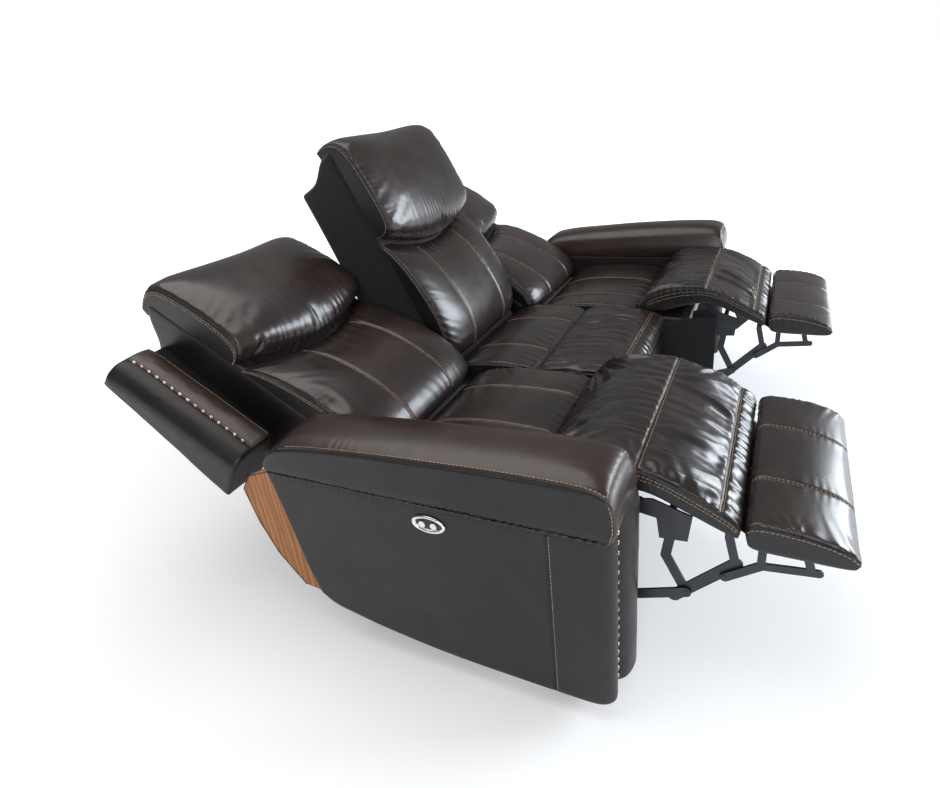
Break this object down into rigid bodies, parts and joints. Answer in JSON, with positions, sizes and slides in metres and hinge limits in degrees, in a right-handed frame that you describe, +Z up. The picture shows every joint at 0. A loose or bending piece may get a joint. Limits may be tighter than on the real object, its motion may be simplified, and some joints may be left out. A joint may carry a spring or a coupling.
{
  "type": "reclining sofa",
  "caption": "Leather power reclining sofa with two reclining end seats, a fixed middle seat, padded arms and fold-out footrests.",
  "frame": {"origin": "on the floor, at the middle of the sofa's outer box, with both end seats reclined and both footrests out", "axes": "+X along the sofa to the sitter's left, +Y to the rear, +Z up"},
  "size_m": [2.16, 1.807, 1.1931],
  "materials": {
    "leather": "glossy dark brown leather",
    "leather_side": "semi-gloss charcoal brown leather",
    "wood": "plain plywood and sawn timber",
    "steel_black": "black enamel",
    "nickel": "polished",
    "bronze": "aged bronze nailheads",
    "plastic_black": "moulded",
    "wire": "zinc plated"
  },
  "bodies": {
    "frame": {"arm_frame_right": "wood", "arm_frame_left": "wood", "arm_cover_right": "leather_side", "arm_cover_left": "leather_side", "arm_pad_right": "leather", "arm_pad_left": "leather", "arm_nailheads": "bronze", "switch_plates": "nickel", "mechanism_base_right": "steel_black", "mechanism_base_left": "steel_black", "middle_frame": "wood", "middle_seat_cushion": "leather", "middle_back_cushion": "leather", "middle_head_pillow": "leather", "middle_back_cover": "leather_side", "feet": "plastic_black"},
    "seat_right": {"seat_chassis_right": "steel_black", "seat_springs_right": "wire", "seat_cushion_right": "leather", "actuator_right": "plastic_black"},
    "swing_front_right": {"swing_frame_front_right": "steel_black"},
    "swing_rear_right": {"swing_frame_rear_right": "steel_black"},
    "nut_right": {"actuator_nut_right": "steel_black"},
    "push_rod_right": {"push_link_right": "steel_black"},
    "rocker_right": {"rocker_frame_right": "steel_black"},
    "drive_link_right": {"drive_links_right": "steel_black"},
    "footrest_right": {"footrest_bracket_right": "steel_black", "chaise_pad_right": "leather"},
    "ottoman_right": {"ottoman_bracket_right": "steel_black", "ottoman_pad_right": "leather"},
    "back_right": {"back_frame_right": "wood", "back_cushion_right": "leather", "head_pillow_right": "leather", "back_cover_right": "leather_side", "back_nailheads_right": "bronze"},
    "recline_link_right": {"recline_links_right": "steel_black"},
    "button_open_right": {"switch_button_open_right": "nickel"},
    "button_close_right": {"switch_button_close_right": "nickel"},
    "seat_left": {"seat_chassis_left": "steel_black", "seat_springs_left": "wire", "seat_cushion_left": "leather", "actuator_left": "plastic_black"},
    "swing_front_left": {"swing_frame_front_left": "steel_black"},
    "swing_rear_left": {"swing_frame_rear_left": "steel_black"},
    "nut_left": {"actuator_nut_left": "steel_black"},
    "push_rod_left": {"push_link_left": "steel_black"},
    "rocker_left": {"rocker_frame_left": "steel_black"},
    "drive_link_left": {"drive_links_left": "steel_black"},
    "footrest_left": {"footrest_bracket_left": "steel_black", "chaise_pad_left": "leather"},
    "ottoman_left": {"ottoman_bracket_left": "steel_black", "ottoman_pad_left": "leather"},
    "back_left": {"back_frame_left": "wood", "back_cushion_left": "leather", "head_pillow_left": "leather", "back_cover_left": "leather_side", "back_nailheads_left": "bronze"},
    "recline_link_left": {"recline_links_left": "steel_black"},
    "button_open_left": {"switch_button_open_left": "nickel"},
    "button_close_left": {"switch_button_close_left": "nickel"}
  },
  "joints": [
    {"name": "footrest_fold_right", "type": "hinge", "parent": "seat_right", "child": "footrest_right", "pos_m": [-0.595, -0.48752, 0.45], "axis": [1, 0, 0], "range_deg": [0, 88]},
    {"name": "back_recline_right", "type": "hinge", "parent": "seat_right", "child": "back_right", "pos_m": [-0.595, 0.15248, 0.4], "axis": [1, 0, 0], "range_deg": [0, 34]},
    {"name": "swing_front_floor_pivot_right", "type": "hinge", "parent": "frame", "child": "swing_front_right", "pos_m": [-0.595, -0.18752, 0.075], "axis": [1, 0, 0], "range_deg": [-37.78, 0]},
    {"name": "swing_front_seat_pivot_right", "type": "hinge", "parent": "swing_front_right", "child": "seat_right", "pos_m": [-0.595, -0.25252, 0.265], "axis": [1, 0, 0], "range_deg": [0, 37.78]},
    {"name": "swing_rear_floor_pivot_right", "type": "hinge", "parent": "frame", "child": "swing_rear_right", "pos_m": [-0.595, 0.13248, 0.075], "axis": [1, 0, 0], "range_deg": [-37.78, 0]},
    {"name": "rocker_pivot_right", "type": "hinge", "parent": "seat_right", "child": "rocker_right", "pos_m": [-0.595, -0.33952, 0.395], "axis": [1, 0, 0], "range_deg": [0, 88]},
    {"name": "drive_link_pivot_right", "type": "hinge", "parent": "footrest_right", "child": "drive_link_right", "pos_m": [-0.595, -0.59552, 0.237], "axis": [1, 0, 0], "range_deg": [-88, 0]},
    {"name": "ottoman_fold_right", "type": "hinge", "parent": "footrest_right", "child": "ottoman_right", "pos_m": [-0.595, -0.67252, 0.305], "axis": [1, 0, 0], "range_deg": [-8, 0]},
    {"name": "push_link_pivot_right", "type": "hinge", "parent": "rocker_right", "child": "push_rod_right", "pos_m": [-0.595, -0.39945, 0.392], "axis": [1, 0, 0], "range_deg": [-63.32, 0]},
    {"name": "recline_link_pivot_right", "type": "hinge", "parent": "back_right", "child": "recline_link_right", "pos_m": [-0.595, 0.13198, 0.333], "axis": [1, 0, 0], "range_deg": [-34, 0]},
    {"name": "actuator_travel_right", "type": "slide", "parent": "seat_right", "child": "nut_right", "axis": [0, 1, 0], "range_m": [0, 0.09]},
    {"name": "button_open_right_press", "type": "slide", "parent": "frame", "child": "button_open_right", "axis": [1, 0, 0], "range_m": [0, 0.002], "stiffness_N_per_m": 800},
    {"name": "button_close_right_press", "type": "slide", "parent": "frame", "child": "button_close_right", "axis": [1, 0, 0], "range_m": [0, 0.002], "stiffness_N_per_m": 800},
    {"name": "footrest_fold_left", "type": "hinge", "parent": "seat_left", "child": "footrest_left", "pos_m": [0.595, -0.48752, 0.45], "axis": [1, 0, 0], "range_deg": [0, 88]},
    {"name": "back_recline_left", "type": "hinge", "parent": "seat_left", "child": "back_left", "pos_m": [0.595, 0.15248, 0.4], "axis": [1, 0, 0], "range_deg": [0, 34]},
    {"name": "swing_front_floor_pivot_left", "type": "hinge", "parent": "frame", "child": "swing_front_left", "pos_m": [0.595, -0.18752, 0.075], "axis": [1, 0, 0], "range_deg": [-37.78, 0]},
    {"name": "swing_front_seat_pivot_left", "type": "hinge", "parent": "swing_front_left", "child": "seat_left", "pos_m": [0.595, -0.25252, 0.265], "axis": [1, 0, 0], "range_deg": [0, 37.78]},
    {"name": "swing_rear_floor_pivot_left", "type": "hinge", "parent": "frame", "child": "swing_rear_left", "pos_m": [0.595, 0.13248, 0.075], "axis": [1, 0, 0], "range_deg": [-37.78, 0]},
    {"name": "rocker_pivot_left", "type": "hinge", "parent": "seat_left", "child": "rocker_left", "pos_m": [0.595, -0.33952, 0.395], "axis": [1, 0, 0], "range_deg": [0, 88]},
    {"name": "drive_link_pivot_left", "type": "hinge", "parent": "footrest_left", "child": "drive_link_left", "pos_m": [0.595, -0.59552, 0.237], "axis": [1, 0, 0], "range_deg": [-88, 0]},
    {"name": "ottoman_fold_left", "type": "hinge", "parent": "footrest_left", "child": "ottoman_left", "pos_m": [0.595, -0.67252, 0.305], "axis": [1, 0, 0], "range_deg": [-8, 0]},
    {"name": "push_link_pivot_left", "type": "hinge", "parent": "rocker_left", "child": "push_rod_left", "pos_m": [0.595, -0.39945, 0.392], "axis": [1, 0, 0], "range_deg": [-63.32, 0]},
    {"name": "recline_link_pivot_left", "type": "hinge", "parent": "back_left", "child": "recline_link_left", "pos_m": [0.595, 0.13198, 0.333], "axis": [1, 0, 0], "range_deg": [-34, 0]},
    {"name": "actuator_travel_left", "type": "slide", "parent": "seat_left", "child": "nut_left", "axis": [0, 1, 0], "range_m": [0, 0.09]},
    {"name": "button_open_left_press", "type": "slide", "parent": "frame", "child": "button_open_left", "axis": [-1, 0, 0], "range_m": [0, 0.002], "stiffness_N_per_m": 800},
    {"name": "button_close_left_press", "type": "slide", "parent": "frame", "child": "button_close_left", "axis": [-1, 0, 0], "range_m": [0, 0.002], "stiffness_N_per_m": 800}
  ],
  "couplings": [
    {"joint": "swing_front_floor_pivot_right", "follows": "footrest_fold_right", "ratio": -0.42923},
    {"joint": "swing_front_seat_pivot_right", "follows": "footrest_fold_right", "ratio": 0.42923},
    {"joint": "swing_rear_floor_pivot_right", "follows": "footrest_fold_right", "ratio": -0.42923},
    {"joint": "rocker_pivot_right", "follows": "footrest_fold_right", "ratio": 1},
    {"joint": "drive_link_pivot_right", "follows": "footrest_fold_right", "ratio": -1},
    {"joint": "ottoman_fold_right", "follows": "footrest_fold_right", "ratio": -0.090909},
    {"joint": "push_link_pivot_right", "follows": "footrest_fold_right", "ratio": -0.7195},
    {"joint": "actuator_travel_right", "follows": "footrest_fold_right", "m_per_rad": 0.058598},
    {"joint": "recline_link_pivot_right", "follows": "back_recline_right", "ratio": -1},
    {"joint": "swing_front_floor_pivot_left", "follows": "footrest_fold_left", "ratio": -0.42923},
    {"joint": "swing_front_seat_pivot_left", "follows": "footrest_fold_left", "ratio": 0.42923},
    {"joint": "swing_rear_floor_pivot_left", "follows": "footrest_fold_left", "ratio": -0.42923},
    {"joint": "rocker_pivot_left", "follows": "footrest_fold_left", "ratio": 1},
    {"joint": "drive_link_pivot_left", "follows": "footrest_fold_left", "ratio": -1},
    {"joint": "ottoman_fold_left", "follows": "footrest_fold_left", "ratio": -0.090909},
    {"joint": "push_link_pivot_left", "follows": "footrest_fold_left", "ratio": -0.7195},
    {"joint": "actuator_travel_left", "follows": "footrest_fold_left", "m_per_rad": 0.058598},
    {"joint": "recline_link_pivot_left", "follows": "back_recline_left", "ratio": -1}
  ]
}
